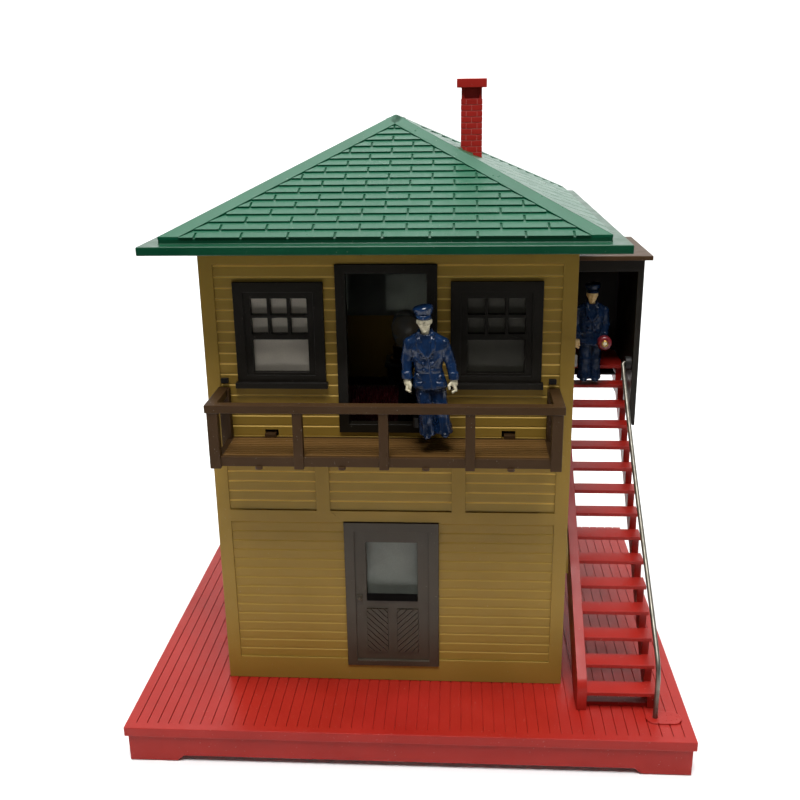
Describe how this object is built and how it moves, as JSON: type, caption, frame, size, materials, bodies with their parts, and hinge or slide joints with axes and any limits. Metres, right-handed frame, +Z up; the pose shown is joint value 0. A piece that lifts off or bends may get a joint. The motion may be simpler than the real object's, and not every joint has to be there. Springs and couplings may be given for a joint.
{
  "type": "model railway signal tower",
  "caption": "Two-storey model railway signal tower with hipped roof, balcony, porch and open stair; a push solenoid swings one figure out on the balcony and slides another down the stair.",
  "frame": {"origin": "middle of the whole outline seen from above, on the plane the feet rest on", "axes": "+Z up, -Y towards the balcony side, +X towards the stair side"},
  "size_m": [0.178, 0.1568, 0.2054],
  "materials": {
    "brown_trim": "satin dark brown moulding",
    "frosted_glazing": "frosted grey translucent sheet",
    "brass": "plain machined brass",
    "red_plastic": "semi-gloss red moulding",
    "tan_plastic": "satin tan moulding",
    "green_plastic": "glossy green moulding",
    "brick_plastic": "brick red with pale mortar lines",
    "blue_paint": "hand-painted gloss blue with cream face and hands",
    "maroon_paint": "gloss maroon with a brass lens rim",
    "black_nylon": "matt black moulding",
    "red_magnet_wire": "enamelled wire under tape",
    "bulb_glass": "clear glass",
    "nickel_rod": "dull nickel",
    "zinc_steel": "zinc plated"
  },
  "bodies": {
    "tower": {"balcony": "brown_trim", "base_platform": "red_plastic", "bottom_plate": "zinc_steel", "bottom_screw_1": "zinc_steel", "bottom_screw_2": "zinc_steel", "bottom_screw_3": "zinc_steel", "bottom_screw_4": "zinc_steel", "deck_screw_1": "zinc_steel", "deck_screw_2": "zinc_steel", "deck_screw_3": "zinc_steel", "deck_screw_4": "zinc_steel", "glazing_door": "frosted_glazing", "glazing_front_left": "frosted_glazing", "glazing_front_right": "frosted_glazing", "glazing_left": "frosted_glazing", "glazing_rear": "frosted_glazing", "handrail": "nickel_rod", "handrail_bush": "black_nylon", "lamp_bracket": "zinc_steel", "lamp_bulb": "bulb_glass", "lamp_socket": "brass", "lever_screw": "zinc_steel", "lower_door": "brown_trim", "mechanism_deck": "zinc_steel", "porch_roof": "brown_trim", "porch_walls": "brown_trim", "shaft_bush": "brass", "solenoid_bobbin": "black_nylon", "solenoid_frame": "zinc_steel", "solenoid_winding": "red_magnet_wire", "stairs": "red_plastic", "terminal_post_1": "brass", "terminal_post_2": "brass", "terminal_post_3": "brass", "tower_body": "tan_plastic", "upper_door_frame": "brown_trim", "window_front_left": "brown_trim", "window_front_right": "brown_trim", "window_left_front": "brown_trim", "window_left_rear": "brown_trim", "window_rear_left": "brown_trim", "window_rear_middle": "brown_trim", "window_rear_right": "brown_trim"},
    "plunger": {"plunger": "zinc_steel", "push_rod": "brass", "drive_yoke": "zinc_steel", "return_spring": "zinc_steel"},
    "tower_man_arm": {"man_shaft": "zinc_steel", "man_arm": "zinc_steel", "tower_man": "blue_paint"},
    "transfer_bar": {"transfer_bar": "zinc_steel"},
    "stair_lever": {"stair_lever": "zinc_steel"},
    "stair_carriage": {"figure_carrier": "zinc_steel", "lantern_man": "blue_paint", "hand_lantern": "maroon_paint"},
    "roof": {"roof": "green_plastic", "chimney": "brick_plastic"},
    "thumb_nut_1": {"thumb_nut_1": "brass"},
    "thumb_nut_2": {"thumb_nut_2": "brass"},
    "thumb_nut_3": {"thumb_nut_3": "brass"}
  },
  "joints": [
    {"name": "plunger_slide", "type": "slide", "parent": "tower", "child": "plunger", "axis": [1, 0, 0], "range_m": [0, 0.0114], "deforming": ["return_spring"]},
    {"name": "tower_man_swing", "type": "hinge", "parent": "tower", "child": "tower_man_arm", "pos_m": [0.0186, -0.03635, 0.0865], "axis": [0, 0, 1], "range_deg": [-65, 0]},
    {"name": "transfer_slide", "type": "slide", "parent": "tower", "child": "transfer_bar", "axis": [0, -1, 0], "range_m": [0, 0.0114]},
    {"name": "stair_lever_swing", "type": "hinge", "parent": "tower", "child": "stair_lever", "pos_m": [0.043, 0.04172, 0.05172], "axis": [1, 0, 0], "range_deg": [0, 50]},
    {"name": "lantern_man_slide", "type": "slide", "parent": "tower", "child": "stair_carriage", "axis": [0, -0.7609, -0.6489], "range_m": [0, 0.0446]},
    {"name": "roof_lift", "type": "slide", "parent": "tower", "child": "roof", "axis": [0, 0, 1], "range_m": [0, 0.06]},
    {"name": "thumb_nut_1_turn", "type": "hinge", "parent": "tower", "child": "thumb_nut_1", "pos_m": [-0.06, 0.06505, 0.0153], "axis": [0, 0, 1], "continuous": true},
    {"name": "thumb_nut_2_turn", "type": "hinge", "parent": "tower", "child": "thumb_nut_2", "pos_m": [-0.048, 0.06505, 0.0153], "axis": [0, 0, 1], "continuous": true},
    {"name": "thumb_nut_3_turn", "type": "hinge", "parent": "tower", "child": "thumb_nut_3", "pos_m": [-0.036, 0.06505, 0.0153], "axis": [0, 0, 1], "continuous": true}
  ],
  "couplings": [
    {"joint": "tower_man_swing", "follows": "plunger_slide", "rad_per_m": -99.5},
    {"joint": "transfer_slide", "follows": "plunger_slide", "ratio": 1},
    {"joint": "stair_lever_swing", "follows": "plunger_slide", "rad_per_m": 76.54},
    {"joint": "lantern_man_slide", "follows": "plunger_slide", "ratio": 3.912}
  ]
}
